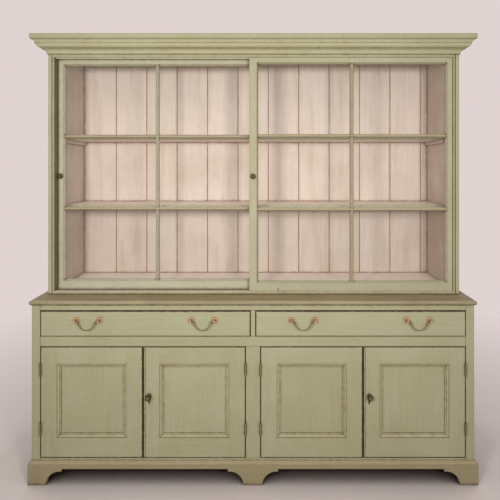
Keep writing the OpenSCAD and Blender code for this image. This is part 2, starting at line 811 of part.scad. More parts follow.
plinth();
base_sides();
base_bottom();
base_back_boards();
base_divider();
face_stiles();
face_rails();
drawer_runners();
cupboard_shelves();
shelf_cleats();
worktop();
frame_hinges();
leaf_frame(0);  // leaf_1_frame
leaf_panel(0);  // leaf_1_panel
leaf_hinges(0);  // leaf_1_hinges
leaf_frame(1);  // leaf_2_frame
leaf_panel(1);  // leaf_2_panel
leaf_hinges(1);  // leaf_2_hinges
leaf_frame(2);  // leaf_3_frame
leaf_panel(2);  // leaf_3_panel
leaf_hinges(2);  // leaf_3_hinges
leaf_frame(3);  // leaf_4_frame
leaf_panel(3);  // leaf_4_panel
leaf_hinges(3);  // leaf_4_hinges
leaf_knob(1);  // leaf_2_knob
leaf_knob(3);  // leaf_4_knob
leaf_lock(1);  // leaf_2_lock
leaf_lock(3);  // leaf_4_lock
leaf_bolt(1);  // leaf_2_bolt
leaf_bolt(3);  // leaf_4_bolt
drawer_front(0);  // drawer_1_front
drawer_box(0);  // drawer_1_box
drawer_posts(0);  // drawer_1_posts
drawer_front(1);  // drawer_2_front
drawer_box(1);  // drawer_2_box
drawer_posts(1);  // drawer_2_posts
bail(0, -1);  // bail_1
bail(0, 1);  // bail_2
bail(1, -1);  // bail_3
bail(1, 1);  // bail_4
case_sides();
case_linings();
case_floor();
case_head();
case_top();
case_back_boards();
case_shelves();
cornice_backing();
cornice();
slide_tracks();
slide_frame(back_slide_x, back_slide_y, slide_stile);  // slide_1_frame
slide_glass(back_slide_x, back_slide_y, slide_stile);  // slide_1_glass
slide_knob(back_slide_x, back_slide_y, slide_stile);  // slide_1_knob
slide_frame(front_slide_x, front_slide_y, slide_meet, true);  // slide_2_frame
slide_glass(front_slide_x, front_slide_y, slide_meet);  // slide_2_glass
slide_knob(front_slide_x, front_slide_y, slide_meet);  // slide_2_knob
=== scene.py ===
"""Painted two-part dresser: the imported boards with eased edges, worn paint, brass and glass."""
import json
import math

import bpy
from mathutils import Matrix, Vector

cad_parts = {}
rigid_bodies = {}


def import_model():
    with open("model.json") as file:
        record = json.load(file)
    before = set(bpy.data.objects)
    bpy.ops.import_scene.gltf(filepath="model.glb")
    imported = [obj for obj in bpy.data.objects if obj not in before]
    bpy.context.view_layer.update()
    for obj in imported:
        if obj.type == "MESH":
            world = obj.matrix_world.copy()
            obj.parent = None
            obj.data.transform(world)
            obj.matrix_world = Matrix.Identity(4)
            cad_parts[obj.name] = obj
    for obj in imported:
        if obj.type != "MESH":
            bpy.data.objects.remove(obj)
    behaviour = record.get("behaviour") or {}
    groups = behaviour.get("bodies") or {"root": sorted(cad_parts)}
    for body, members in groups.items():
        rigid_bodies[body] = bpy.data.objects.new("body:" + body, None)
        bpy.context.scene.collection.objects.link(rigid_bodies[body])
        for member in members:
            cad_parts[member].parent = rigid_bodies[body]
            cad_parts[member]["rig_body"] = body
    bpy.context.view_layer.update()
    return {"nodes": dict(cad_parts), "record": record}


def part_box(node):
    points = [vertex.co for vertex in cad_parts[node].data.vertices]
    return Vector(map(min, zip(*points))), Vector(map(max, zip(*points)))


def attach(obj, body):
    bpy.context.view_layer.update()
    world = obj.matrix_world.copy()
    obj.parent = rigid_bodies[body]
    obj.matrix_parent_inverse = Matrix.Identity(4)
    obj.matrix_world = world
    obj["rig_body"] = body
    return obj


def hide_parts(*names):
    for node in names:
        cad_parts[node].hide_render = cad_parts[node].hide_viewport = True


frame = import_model()
nodes = frame["nodes"]
slot_of = {part["node"]: part["material_slot"] for part in frame["record"]["subparts"]}
MM = 0.001


# ---------------------------------------------------------------- shader wiring
def srgb(r, g, b):
    """A colour read as 0-255 sRGB, as the linear numbers that a shader takes."""
    def linear(c):
        c /= 255
        return c / 12.92 if c <= 0.04045 else ((c + 0.055) / 1.055) ** 2.4
    return (linear(r), linear(g), linear(b), 1)


class Wire:
    """A shader node's output. Sums on it add Math nodes."""

    def __init__(self, shader, out):
        self.shader = shader
        self.out = out

    def math(self, operation, *values):
        return self.shader.node("ShaderNodeMath", {"operation": operation},
                                **{str(i): v for i, v in enumerate(values)})

    def __add__(self, other):
        return self.math("ADD", self, other)

    def __sub__(self, other):
        return self.math("SUBTRACT", self, other)

    def __rsub__(self, other):
        return self.math("SUBTRACT", other, self)

    def __mul__(self, other):
        return self.math("MULTIPLY", self, other)

    def __truediv__(self, other):
        return self.math("DIVIDE", self, other)

    def __pow__(self, other):
        return self.math("POWER", self, other)

    def at_most(self, other):
        return self.math("MINIMUM", self, other)

    def at_least(self, other):
        return self.math("MAXIMUM", self, other)

    def from_multiple(self, pitch):
        """How far it is from the nearest multiple of a pitch."""
        return self.math("PINGPONG", self, pitch / 2)

    __radd__ = __add__


class Shader:
    """The node tree of a material or of the world, its nodes added by calls."""

    def __init__(self, owner, output="ShaderNodeOutputMaterial"):
        self.owner = owner
        owner.use_nodes = True
        self.tree = owner.node_tree
        self.tree.nodes.clear()
        self.surface = self.tree.nodes.new(output).inputs[0]

    def node(self, kind, settings=None, output=0, **inputs):
        """Adds a node. An input is given by its name or its place: a value or a Wire."""
        node = self.tree.nodes.new(kind)
        for key, value in (settings or {}).items():
            setattr(node, key, value)
        for key, value in inputs.items():
            socket = node.inputs[int(key) if key.isdigit() else key.replace("_", " ")]
            if isinstance(value, Wire):
                self.tree.links.new(value.out, socket)
            else:
                socket.default_value = value
        return Wire(self, node.outputs[output])

    def place(self):
        return self.node("ShaderNodeTexCoord", output="Object")

    def along(self, axis):
        """The object coordinate on the X, Y or Z axis."""
        return self.node("ShaderNodeSeparateXYZ", output=axis, Vector=self.place())

    def attribute(self, name, output="Fac"):
        return self.node("ShaderNodeAttribute", {"attribute_name": name}, output)

    def vector(self, operation, a, b, output=0):
        return self.node("ShaderNodeVectorMath", {"operation": operation}, output,
                         **{"0": a, "1": b})

    def scaled(self, where, x, y, z):
        return self.vector("MULTIPLY", where, (x, y, z))

    def noise(self, where, scale, detail=3, roughness=0.5, distortion=0):
        return self.node("ShaderNodeTexNoise", output="Fac", Vector=where, Scale=scale,
                         Detail=detail, Roughness=roughness, Distortion=distortion)

    def ramp(self, value, low, high):
        """0 under low, 1 over high and a straight line between them."""
        return self.node("ShaderNodeMapRange", {"clamp": True}, Value=value, From_Min=low,
                         From_Max=high)

    def mix(self, amount, a, b, blend="MIX"):
        """Colour a, with so much of b over it. Inputs 6 and 7 and output 2 are the colours'."""
        return self.node("ShaderNodeMix", {"data_type": "RGBA", "blend_type": blend}, 2,
                         **{"0": amount, "6": a, "7": b})

    def multiply(self, amount, a, b):
        return self.mix(amount, a, b, "MULTIPLY")

    def edges(self, radius):
        """0 on a flat face, rising towards 1 on every edge and corner."""
        rounded = self.node("ShaderNodeBevel", {"samples": 4}, Radius=radius)
        true = self.node("ShaderNodeNewGeometry", output="Normal")
        return 1 - self.vector("DOT_PRODUCT", rounded, true, output="Value")

    def crevice(self, reach):
        """0 in the open, rising to 1 deep in a corner or a gap."""
        return 1 - self.node("ShaderNodeAmbientOcclusion", {"samples": 8}, "AO", Distance=reach)

    def bump(self, height, distance, strength):
        return self.node("ShaderNodeBump", Height=height, Distance=distance, Strength=strength)

    def between(self, amount, a, b):
        """A surface that goes from a to b."""
        return self.node("ShaderNodeMixShader", **{"0": amount, "1": a, "2": b})

    def ends_in(self, surface):
        self.tree.links.new(surface.out, self.surface)
        return self.owner

    def principled(self, **inputs):
        return self.ends_in(self.node("ShaderNodeBsdfPrincipled", **inputs))


def finish(name):
    return Shader(bpy.data.materials.new(name))


# ---------------------------------------------------------------- finishes
# Colours that every worn paint shares
WHITE = (1, 1, 1, 1)
STROKE_SHADE = srgb(150, 140, 105)
MOTTLE_SHADE = srgb(168, 150, 112)
SEAM_RUST = srgb(188, 165, 120)
# The colour of the painted shade that darkens the paint low down
LOW_SHADE_COLOUR = srgb(140, 116, 92)
# The colour of the band of grime and painted shade along a front's gaps
GAP_GRIME_AND_SHADE = srgb(60, 48, 27)

# Heights in metres of the painted shade low down: it is full under the first, and there is none
# over the second
LOW_SHADE_HEIGHTS = (0.95, 1.6)
# The boards' first upright seam and the width of a board, in metres
BOARD_SEAMS = (-0.820, 0.179)


def along_grain(f, along, across):
    """Object coordinates squeezed across each board's grain, shifted from board to board."""
    grain = f.attribute("grain", "Vector")
    board = f.attribute("board")
    squeeze = f.vector("SUBTRACT", (across,) * 3,
                       f.vector("MULTIPLY", grain, (across - along,) * 3))
    shift = f.node("ShaderNodeCombineXYZ", X=board * 7.3, Y=board * 3.1, Z=board * 5.7)
    return f.vector("MULTIPLY", f.vector("ADD", f.place(), shift), squeeze)


def rim_grime(f, front, left, right, bottom, top):
    """1 in the dark band along a front's gaps, grimy and painted shade, so many mm wide on each
    side, and 0 inside.
    """
    low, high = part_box(front)
    x, z = f.along("X"), f.along("Z")
    nearest = ((x - low[0]) / (left * MM)).at_most((high[0] - x) / (right * MM))
    nearest = nearest.at_most((z - low[2]) / (bottom * MM)).at_most((high[2] - z) / (top * MM))
    ragged = f.noise(f.place(), 60, detail=4, roughness=0.6)
    return 1 - f.ramp(nearest + (ragged - 0.5) * 1.6, 0.7, 1.3)


def seam_stain(f, first, pitch):
    """Broken stains along upright seams that stand a pitch apart, and faint runs between them."""
    away = (f.along("X") - first).from_multiple(pitch)
    broken = f.noise(f.scaled(f.place(), 30, 4, 6), 1, detail=5, roughness=0.7)
    beside = (1 - f.ramp(away, 0.002, 0.008)) * f.ramp(broken, 0.42, 0.6)
    flow = f.noise(f.scaled(f.place(), 13, 4, 1.4), 1, detail=5, roughness=0.65)
    return (beside * 0.8).at_least(f.ramp(flow, 0.5, 0.74) * 0.5)


def worn_paint(name, paint, light_paint, worn, grime_and_shade_colour, wear=1.0, dirt_and_shade=1.0, streaks=0.06,
               stains=0.14, rim=None, seams=None, low_shade_amount=0):
    """Brushed paint with rubbed edges, and corners that are both grimy and darkened by painted
    shade.

    wear, streaks and stains say how much there is of each; two more arguments say how much the
    corners are darkened, and how much painted shade darkens the paint low down. rim is a front
    and its four widths for the dark band along its gaps, and seams is the first seam and the
    pitch for seam_stain.
    """
    f = finish(name)
    board = f.attribute("board")
    strokes = f.noise(along_grain(f, 3, 90), 1, detail=4, roughness=0.6)
    patches = f.noise(f.place(), 5, detail=4, roughness=0.6)
    blotches = f.noise(f.place(), 38, detail=3, roughness=0.65)
    mottle = f.noise(f.place(), 110, detail=5, roughness=0.75)
    smears = f.noise(f.place(), 2.2, detail=5, roughness=0.62)

    tone = f.ramp(patches + (strokes - 0.5) * 0.5 + (board - 0.5) * 0.25, 0.32, 0.68)
    colour = f.mix(tone, paint, light_paint)
    colour = f.multiply(streaks, colour, f.mix(f.ramp(strokes, 0.3, 0.7), STROKE_SHADE, WHITE))
    colour = f.multiply(0.16, colour, f.mix(f.ramp(mottle, 0.35, 0.62), MOTTLE_SHADE, WHITE))
    colour = f.mix(f.ramp(smears, 0.52, 0.76) * stains, colour, worn)
    if seams:
        colour = f.mix(seam_stain(f, *seams), colour, SEAM_RUST)
    # Painted shade: the paint is darker towards the bottom
    if low_shade_amount:
        shade_low_down = 1 - f.ramp(f.along("Z") + (patches - 0.5) * 0.5, *LOW_SHADE_HEIGHTS)
        colour = f.mix(shade_low_down * low_shade_amount, colour, LOW_SHADE_COLOUR)
    edge = f.edges(0.0055)
    rubbed = f.ramp(edge * 9 + (blotches - 0.5) * 2.8, 0.25, 0.7) * f.ramp(edge, 0.003, 0.015)
    colour = f.mix(rubbed * min(1, 0.9 * wear), colour, worn)
    # Darker in corners and gaps, found by ambient occlusion: grime and painted shade
    dark = f.ramp(f.crevice(0.016) + (blotches - 0.5) * 0.5, 0.1, 0.45)
    colour = f.mix(dark * min(1, 0.85 * dirt_and_shade), colour, grime_and_shade_colour)
    # A dark band along the front's gaps: grime and painted shade
    if rim:
        colour = f.mix(rim_grime(f, *rim), colour, GAP_GRIME_AND_SHADE)
    relief = strokes + blotches * 0.4 - rubbed * 0.5
    return f.principled(Base_Color=colour, Roughness=0.5 + strokes * 0.16 + rubbed * 0.1,
                        Normal=f.bump(relief, 0.0003, 0.35))


def bare_wood(name, light, dark, grime_and_shade_colour):
    """Old pine with its grain along each board."""
    f = finish(name)
    where = along_grain(f, 1.2, 26)
    rings = f.noise(where, 2.2, detail=6, roughness=0.62, distortion=0.6)
    fine = f.noise(along_grain(f, 4, 240), 1)
    colour = f.mix(f.ramp(rings + (fine - 0.5) * 0.3, 0.3, 0.7), dark, light)
    # Darker in corners, found by ambient occlusion: grime and painted shade
    colour = f.mix(f.ramp(f.crevice(0.02), 0.25, 0.9) * 0.7, colour, grime_and_shade_colour)
    return f.principled(Base_Color=colour, Roughness=0.55 + fine * 0.25,
                        Normal=f.bump(rings + fine * 0.6, 0.0003, 0.5))


def aged_brass(name, bright, dull, brown, polish):
    """Brass that is bright where hands rub it and brown where they don't."""
    f = finish(name)
    spots = f.noise(f.place(), 160, detail=5, roughness=0.65)
    film = f.noise(f.place(), 45)
    rubbed = f.ramp(f.edges(0.0015) * 2.5 + film * 0.5 + polish, 0.35, 0.9)
    colour = f.mix(rubbed, f.mix(f.ramp(spots, 0.35, 0.65), brown, dull), bright)
    colour = f.mix(f.ramp(f.crevice(0.004), 0.3, 0.9), colour, brown)
    return f.principled(Base_Color=colour, Metallic=0.55 + rubbed * 0.4,
                        Roughness=0.5 - rubbed * 0.22 + spots * 0.1,
                        Normal=f.bump(spots, 0.0002, 0.4))


def knob_brass(name, middle, rim, groove):
    """A turned knob, lighter on its face as a painted highlight, and nearly black round its rim.
    """
    f = finish(name)
    reach = f.attribute("reach")
    spots = f.noise(f.place(), 190, detail=4, roughness=0.65)
    # The lighter middle is a painted highlight
    colour = f.mix(f.ramp(reach + (spots - 0.5) * 0.5, 0.3, 0.8), middle, rim)
    colour = f.mix(f.ramp(f.crevice(0.004), 0.35, 0.9), colour, groove)
    return f.principled(Base_Color=colour, Metallic=0.6, Roughness=0.34 + spots * 0.2,
                        Normal=f.bump(spots, 0.0002, 0.4))


def rose_copper(name, post, disc, rim, groove):
    """A round rose: a post made bright by a painted highlight, in a paler disc with a coppery rim.
    """
    f = finish(name)
    reach = f.attribute("reach")
    spots = f.noise(f.place(), 260, detail=4, roughness=0.65)
    # The post's bright colour is a painted highlight
    colour = f.mix(f.ramp(reach, 0.12, 0.34), post, rim)
    colour = f.mix(f.ramp(reach, 0.4, 0.47), colour, groove)
    colour = f.mix(f.ramp(reach, 0.5, 0.6), colour, disc)
    colour = f.mix(f.ramp(reach + (spots - 0.5) * 0.4, 0.76, 0.9), colour, rim)
    colour = f.mix(f.ramp(spots, 0.5, 0.72) * 0.4, colour, rim)
    colour = f.mix(f.ramp(f.crevice(0.004), 0.3, 0.85), colour, groove)
    return f.principled(Base_Color=colour, Metallic=0.5, Roughness=0.3 + spots * 0.25,
                        Normal=f.bump(spots, 0.0003, 0.5))


def pane_glass(name):
    """Old window glass: clear, faintly wavy, a little dusty near its edges."""
    f = finish(name)
    waves = f.noise(f.place(), 9, detail=2)
    dust = f.noise(f.place(), 24, detail=4, roughness=0.6)
    return f.principled(Base_Color=srgb(236, 232, 224), Roughness=0.03 + dust * 0.04,
                        Alpha=0.018 + f.ramp(dust, 0.45, 0.8) * 0.02 + f.crevice(0.02) * 0.04,
                        Normal=f.bump(waves, 0.002, 0.3))


SAGE = srgb(172, 168, 134)
SAGE_LIGHT = srgb(178, 176, 144)
TAN = srgb(138, 113, 72)
# The dark colour in corners and gaps: grime and painted shade
GRIME_AND_SHADE = srgb(84, 70, 40)
CREAM_WORN = srgb(206, 182, 150)

sage_paint = worn_paint("sage_paint", SAGE, SAGE_LIGHT, TAN, GRIME_AND_SHADE)
plinth_paint = worn_paint(
    "plinth_paint", srgb(158, 145, 113), srgb(165, 153, 121), srgb(134, 112, 80), GRIME_AND_SHADE, wear=1.2)
nose_paint = worn_paint(
    "nose_paint", srgb(142, 130, 100), srgb(160, 152, 120), srgb(120, 98, 68), GRIME_AND_SHADE, wear=1.3)
cream_paint = worn_paint(
    "cream_paint", srgb(228, 211, 198), srgb(238, 222, 210), CREAM_WORN, srgb(140, 94, 48),
    wear=0.5, dirt_and_shade=1.15, stains=0.5, seams=BOARD_SEAMS, low_shade_amount=0.24)
inner_paint = worn_paint(
    "inner_paint", srgb(204, 180, 163), srgb(214, 198, 186), srgb(160, 130, 106),
    srgb(112, 84, 56), wear=0.5, dirt_and_shade=0.8, streaks=0.2, stains=0.7, low_shade_amount=0.3)
# Paler than the boards' cream: painted light on the shelves, which the case's floor takes too
shelf_painted_light = worn_paint(
    "shelf_painted_light", srgb(240, 226, 214), srgb(246, 234, 224), CREAM_WORN, srgb(150, 118, 84),
    wear=0.3, dirt_and_shade=0.35)
# Far paler than the sage: painted light on the head's underside and the upper tracks
head_painted_light = worn_paint(
    "head_painted_light", srgb(228, 225, 198), srgb(234, 231, 206), TAN, GRIME_AND_SHADE, dirt_and_shade=0.1)
# Paler sage: painted light on the cornice's downward faces
cornice_painted_light = worn_paint(
    "cornice_painted_light", srgb(186, 182, 147), srgb(192, 190, 157), TAN, srgb(112, 96, 60), dirt_and_shade=0.65)
bar_paint = worn_paint(
    "bar_paint", srgb(182, 171, 140), srgb(192, 183, 154), srgb(162, 138, 104),
    srgb(116, 96, 64), wear=0.7, dirt_and_shade=0.65)
# Paler than the sage: painted light on the left sliding door, which is set back in the rear track
left_door_painted_light = worn_paint(
    "left_door_painted_light", srgb(184, 180, 155), srgb(190, 187, 163), TAN, GRIME_AND_SHADE, dirt_and_shade=0.8)
right_door_paint = worn_paint(
    "right_door_paint", srgb(175, 171, 141), srgb(181, 179, 150), TAN, GRIME_AND_SHADE, dirt_and_shade=0.85)
lining_shade = worn_paint(
    "lining_shade", srgb(122, 107, 80), srgb(134, 119, 90), srgb(98, 80, 52),
    srgb(70, 56, 34), wear=0.6, dirt_and_shade=0.6)
cornice_paint = worn_paint(
    "cornice_paint", SAGE, SAGE_LIGHT, TAN, srgb(104, 88, 54), dirt_and_shade=0.75)
rim_paint = worn_paint(
    "keyhole_rim", srgb(196, 188, 162), srgb(214, 208, 186), srgb(150, 128, 92), GRIME_AND_SHADE, dirt_and_shade=0.5)
worktop_paint = worn_paint(
    "worktop_paint", srgb(148, 130, 100), srgb(162, 146, 116), srgb(124, 102, 74),
    srgb(80, 66, 42), wear=0.6, dirt_and_shade=0.7, streaks=0.3)
# Dark brown: painted shade on the narrow faces round the fronts' gaps, and dark joint lines where
# the case's sides meet the linings
gap_paint_grime_and_shade = worn_paint(
    "gap_paint_grime_and_shade", srgb(74, 60, 36), srgb(100, 84, 54), srgb(58, 45, 26), srgb(44, 34, 20),
    wear=0.6, streaks=0.3)
# Darker sage: painted shade on the sliding doors' lower tracks
track_painted_shade = worn_paint(
    "track_painted_shade", srgb(112, 102, 74), srgb(128, 118, 88), srgb(90, 72, 46), GRIME_AND_SHADE)
pine = bare_wood("old_pine", srgb(196, 164, 120), srgb(160, 122, 80), srgb(82, 60, 38))
dark_brass = aged_brass(
    "dark_brass", srgb(150, 124, 84), srgb(88, 68, 40), srgb(52, 38, 22), polish=0.0)
bail_brass = aged_brass(
    "bail_brass", srgb(216, 192, 140), srgb(168, 146, 98), srgb(106, 86, 50), polish=0.1)
turned_brass = knob_brass("turned_brass", srgb(132, 110, 78), srgb(70, 56, 34), srgb(34, 25, 14))
rose_brass = rose_copper(
    "rose_brass", srgb(250, 226, 186), srgb(226, 196, 148), srgb(176, 120, 70), srgb(96, 66, 38))
hinge_paint = worn_paint(
    "painted_hinges", srgb(150, 144, 112), srgb(164, 160, 128), srgb(112, 90, 54),
    srgb(52, 40, 22), wear=1.6, dirt_and_shade=1.2, streaks=0.2)
glass = pane_glass("pane_glass")


# ---------------------------------------------------------------- modelling
def pick(*objects):
    """Only these objects are selected, the last one active."""
    bpy.ops.object.select_all(action="DESELECT")
    for obj in objects:
        obj.select_set(True)
    bpy.context.view_layer.objects.active = objects[-1]


def edit(action):
    """Runs an action on the whole mesh of the active object."""
    bpy.ops.object.mode_set(mode="EDIT")
    bpy.ops.mesh.select_all(action="SELECT")
    action()
    bpy.ops.object.mode_set(mode="OBJECT")


def face_out():
    bpy.ops.mesh.select_all(action="SELECT")
    bpy.ops.mesh.normals_make_consistent(inside=False)


def stands_for(piece, node):
    """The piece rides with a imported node's body and is shown in its place."""
    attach(piece, nodes[node]["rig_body"])
    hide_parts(node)


def mark_boards(obj):
    """Writes on each loose board which way its grain runs, and a number of its own."""
    mesh = obj.data
    parent = list(range(len(mesh.vertices)))

    def root(v):
        while parent[v] != v:
            parent[v] = parent[parent[v]]
            v = parent[v]
        return v
    for edge in mesh.edges:
        a, b = root(edge.vertices[0]), root(edge.vertices[1])
        if a != b:
            parent[a] = b
    boards = {}
    for v in range(len(mesh.vertices)):
        boards.setdefault(root(v), []).append(v)
    mesh.attributes.new("grain", "FLOAT_VECTOR", "POINT")
    mesh.attributes.new("board", "FLOAT", "POINT")
    grain, number = mesh.attributes["grain"], mesh.attributes["board"]
    for members in boards.values():
        points = [mesh.vertices[v].co for v in members]
        size = [max(p[i] for p in points) - min(p[i] for p in points) for i in range(3)]
        middle = [sum(p[i] for p in points) / len(points) for i in range(3)]
        axis = size.index(max(size))
        own = (middle[0] * 12.9898 + middle[1] * 78.233 + middle[2] * 37.719) % 1
        for v in members:
            grain.data[v].vector = [1.0 if i == axis else 0.0 for i in range(3)]
            number.data[v].value = own


def eased(node, material, width):
    """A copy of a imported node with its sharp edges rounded, shown in the node's place."""
    piece = bpy.data.objects.new(node + "_eased", nodes[node].data.copy())
    bpy.context.scene.collection.objects.link(piece)
    pick(piece)

    def clean():
        bpy.ops.mesh.remove_doubles(threshold=0.000002)
        bpy.ops.mesh.dissolve_limited(angle_limit=math.radians(0.5))
    edit(clean)
    bevel = piece.modifiers.new("eased", "BEVEL")
    bevel.width = width
    bevel.segments = 2
    bevel.limit_method = "ANGLE"
    bevel.angle_limit = math.radians(40)
    bpy.ops.object.modifier_apply(modifier="eased")
    bpy.ops.object.shade_smooth_by_angle(angle=math.radians(35))
    flat = piece.modifiers.new("flat_faces", "WEIGHTED_NORMAL")
    flat.keep_sharp = True
    bpy.ops.object.modifier_apply(modifier="flat_faces")
    piece.data.materials.clear()
    piece.data.materials.append(material)
    mark_boards(piece)
    stands_for(piece, node)
    return piece


# The dark band of grime and painted shade round each front: how wide it is on the left, right,
# bottom and top, in mm
RIMS = {
    "drawer_1_front": (2.6, 4.2, 2.4, 4.6),
    "drawer_2_front": (4.2, 2.6, 2.4, 4.6),
    "leaf_1_frame": (2.6, 4.4, 3, 2.6),
    "leaf_2_frame": (4.4, 2.6, 2.4, 2.6),
    "leaf_3_frame": (2.6, 4.4, 2.4, 2.6),
    "leaf_4_frame": (4.4, 2.6, 3, 2.6),
}
# How far edges are rounded, in metres: the ordinary ones, and those that are worn most
ROUND = 0.0012
WORN_ROUND = {
    "drawer_1_front": 0.0026, "drawer_2_front": 0.0026,
    "case_sides": 0.002, "case_linings": 0.002,
    "leaf_1_frame": 0.0018, "leaf_2_frame": 0.0018,
    "leaf_3_frame": 0.0018, "leaf_4_frame": 0.0018,
}
wood_by_slot = {"painted_wood": sage_paint, "inner_wood": pine, "worn_worktop": worktop_paint,
                "cream_boards": cream_paint}
other_by_slot = {"dark_brass": dark_brass, "rose_brass": rose_brass, "hinge_brass": hinge_paint,
                 "pane_glass": glass}
by_node = {"slide_tracks": track_painted_shade, "plinth": plinth_paint, "cornice": cornice_paint,
           "slide_1_frame": left_door_painted_light, "slide_2_frame": right_door_paint}
for front, widths in RIMS.items():
    by_node[front] = worn_paint(front + "_paint", SAGE, SAGE_LIGHT, TAN, GRIME_AND_SHADE,
                                rim=(front, *widths))

made = {}
for name, node in nodes.items():
    slot = slot_of[name]
    if slot in wood_by_slot:
        made[name] = eased(name, by_node.get(name, wood_by_slot[slot]),
                           WORN_ROUND.get(name, ROUND))
    else:
        node.data.materials.clear()
        node.data.materials.append(other_by_slot[slot])


# ---------------------------------------------------------------- second finishes
# SQUARE is the least share of a face's normal along an axis that it squarely faces.
# The heights are in metres: between the lower and the upper tracks, over the worktop,
# and of the sliding doors' level bars, with half a bar's height.
SQUARE = 0.9
BETWEEN_TRACKS = 1.5
OVER_WORKTOP = 0.9
LEVEL_BARS = (1.2987, 1.6683)
HALF_BAR = 0.013
# How far in from its box a front still counts as gap, in metres
GAP_REACH = 0.0025


def repaint(node, material, chosen):
    """Gives the faces that chosen(centre, normal) picks another finish."""
    mesh = made[node].data
    mesh.materials.append(material)
    index = len(mesh.materials) - 1
    for face in mesh.polygons:
        if chosen(face.center, face.normal):
            face.material_index = index


def faces_middle(c, n):
    return c.x * n.x < -0.5 and abs(n.x) > SQUARE


def on_level_bar(c, n):
    return min(abs(c.z - level) for level in LEVEL_BARS) < HALF_BAR


def gap_sides(front):
    """Picks the narrow faces round a door or drawer front, where its gap is."""
    low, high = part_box(front)

    def chosen(c, n):
        inside = min(c.x - low[0], high[0] - c.x, c.z - low[2], high[2] - c.z)
        return inside < GAP_REACH and abs(n.y) < 0.95
    return chosen


for node, material, chosen in (
        ("case_sides", inner_paint, faces_middle),
        # Painted light: the upper tracks and the head's underside are painted far paler than the
        # sage
        ("slide_tracks", head_painted_light, lambda c, n: c.z > BETWEEN_TRACKS),
        ("case_head", head_painted_light, lambda c, n: n.z < -0.5),
        # Painted light: the shelves and the case's floor are painted paler than the boards
        ("case_shelves", shelf_painted_light, lambda c, n: abs(n.z) > SQUARE),
        ("case_floor", shelf_painted_light, lambda c, n: n.z > SQUARE),
        ("case_back_boards", pine, lambda c, n: n.y > SQUARE),
        ("shelf_cleats", inner_paint, lambda c, n: c.z > OVER_WORKTOP),
        ("case_linings", gap_paint_grime_and_shade, lambda c, n: c.x * n.x > 0.1 and abs(n.x) > 0.15),
        ("case_sides", gap_paint_grime_and_shade,
         lambda c, n: c.x * n.x < -0.1 and 0.15 < abs(n.x) < 0.97 and n.y < -0.1),
        # Painted light: the cornice's downward faces are painted paler
        ("cornice", cornice_painted_light, lambda c, n: n.z < -0.15),
        ("slide_1_frame", bar_paint, on_level_bar),
        ("slide_2_frame", bar_paint, on_level_bar),
        ("worktop", nose_paint, lambda c, n: n.z < SQUARE),
        ("case_linings", lining_shade, faces_middle)):
    repaint(node, material, chosen)
# The narrow faces round each front are painted dark: painted shade in its gap
for front in RIMS:
    repaint(front, gap_paint_grime_and_shade, gap_sides(front))


# ---------------------------------------------------------------- metalwork
def circle(name, place, radius, sides, fill):
    """A circle that faces out of the front, its radius in mm."""
    bpy.ops.object.select_all(action="DESELECT")
    bpy.ops.mesh.primitive_circle_add(vertices=sides, radius=radius * MM, fill_type=fill,
                                      location=place, rotation=(math.radians(90), 0, 0))
    piece = bpy.context.object
    piece.name = name
    bpy.ops.object.transform_apply(location=True, rotation=True, scale=True)
    return piece


def draw_out(out, factor, middle):
    """Extrudes the picked ring so many mm out of the front, then resizes it about a point."""
    bpy.ops.mesh.extrude_region_move(TRANSFORM_OT_translate={"value": (0, -out * MM, 0)})
    bpy.ops.transform.resize(value=(factor, 1, factor), center_override=middle)


def turned(name, place, rings, material, sides=48):
    """A piece turned on an axis that points out of the front: rings of (radius, way out) in mm."""
    piece = circle(name, place, rings[0][0], sides, "NGON")

    def lathe():
        radius, out = rings[0]
        for next_radius, next_out in rings[1:]:
            draw_out(next_out - out, next_radius / radius,
                     (place[0], place[1] - next_out * MM, place[2]))
            radius, out = next_radius, next_out
        face_out()
    edit(lathe)
    bpy.ops.object.shade_smooth_by_angle(angle=math.radians(50))
    piece.data.materials.append(material)
    widest = max(radius for radius, _ in rings) * MM
    piece.data.attributes.new("reach", "FLOAT", "POINT")
    reach = piece.data.attributes["reach"]
    for v in piece.data.vertices:
        reach.data[v.index].value = math.hypot(v.co.x - place[0], v.co.z - place[2]) / widest
    return piece


def joined(pieces, name):
    pick(*pieces)
    bpy.ops.object.join()
    piece = bpy.context.object
    piece.name = name
    return piece


# A knob's rings: shares of its box's half width and of its depth
KNOB = [(0.69, 0), (0.71, 0.03), (0.68, 0.07), (0.57, 0.1), (0.45, 0.15), (0.38, 0.24),
        (0.36, 0.34), (0.40, 0.42), (0.52, 0.475), (0.74, 0.505), (0.92, 0.56), (1.0, 0.64),
        (0.99, 0.73), (0.91, 0.81), (0.80, 0.855), (0.73, 0.862), (0.69, 0.84), (0.64, 0.84),
        (0.60, 0.88), (0.49, 0.94), (0.32, 0.98), (0.15, 0.997), (0.02, 1.0)]


def knob_seat(node):
    """The point on the front that a knob stands on."""
    low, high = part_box(node)
    return ((low[0] + high[0]) / 2, high[1], (low[2] + high[2]) / 2)


for node in ("leaf_2_knob", "leaf_4_knob", "slide_1_knob", "slide_2_knob"):
    low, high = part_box(node)
    half_width = (high[0] - low[0]) / 2 / MM
    depth = (high[1] - low[1]) / MM
    rings = [(radius * half_width, out * depth) for radius, out in KNOB]
    stands_for(turned(node + "_turned", knob_seat(node), rings, turned_brass), node)

# A rose and its post: rings in mm, from the drawer's front outwards
ROSE = [(13.6, 0), (14.0, 0.5), (14.0, 1.2), (13.4, 1.9), (12.2, 2.2), (11.2, 1.8), (10.2, 1.9),
        (8.6, 2.9), (6.6, 3.7), (5.0, 4.8), (4.2, 6.6), (3.9, 9.0), (4.3, 11.2), (5.4, 13.0),
        (6.2, 15.2), (6.6, 17.8), (6.2, 20.3), (5.0, 22.2), (3.1, 23.6), (1.1, 24.0),
        (0.1, 24.0)]
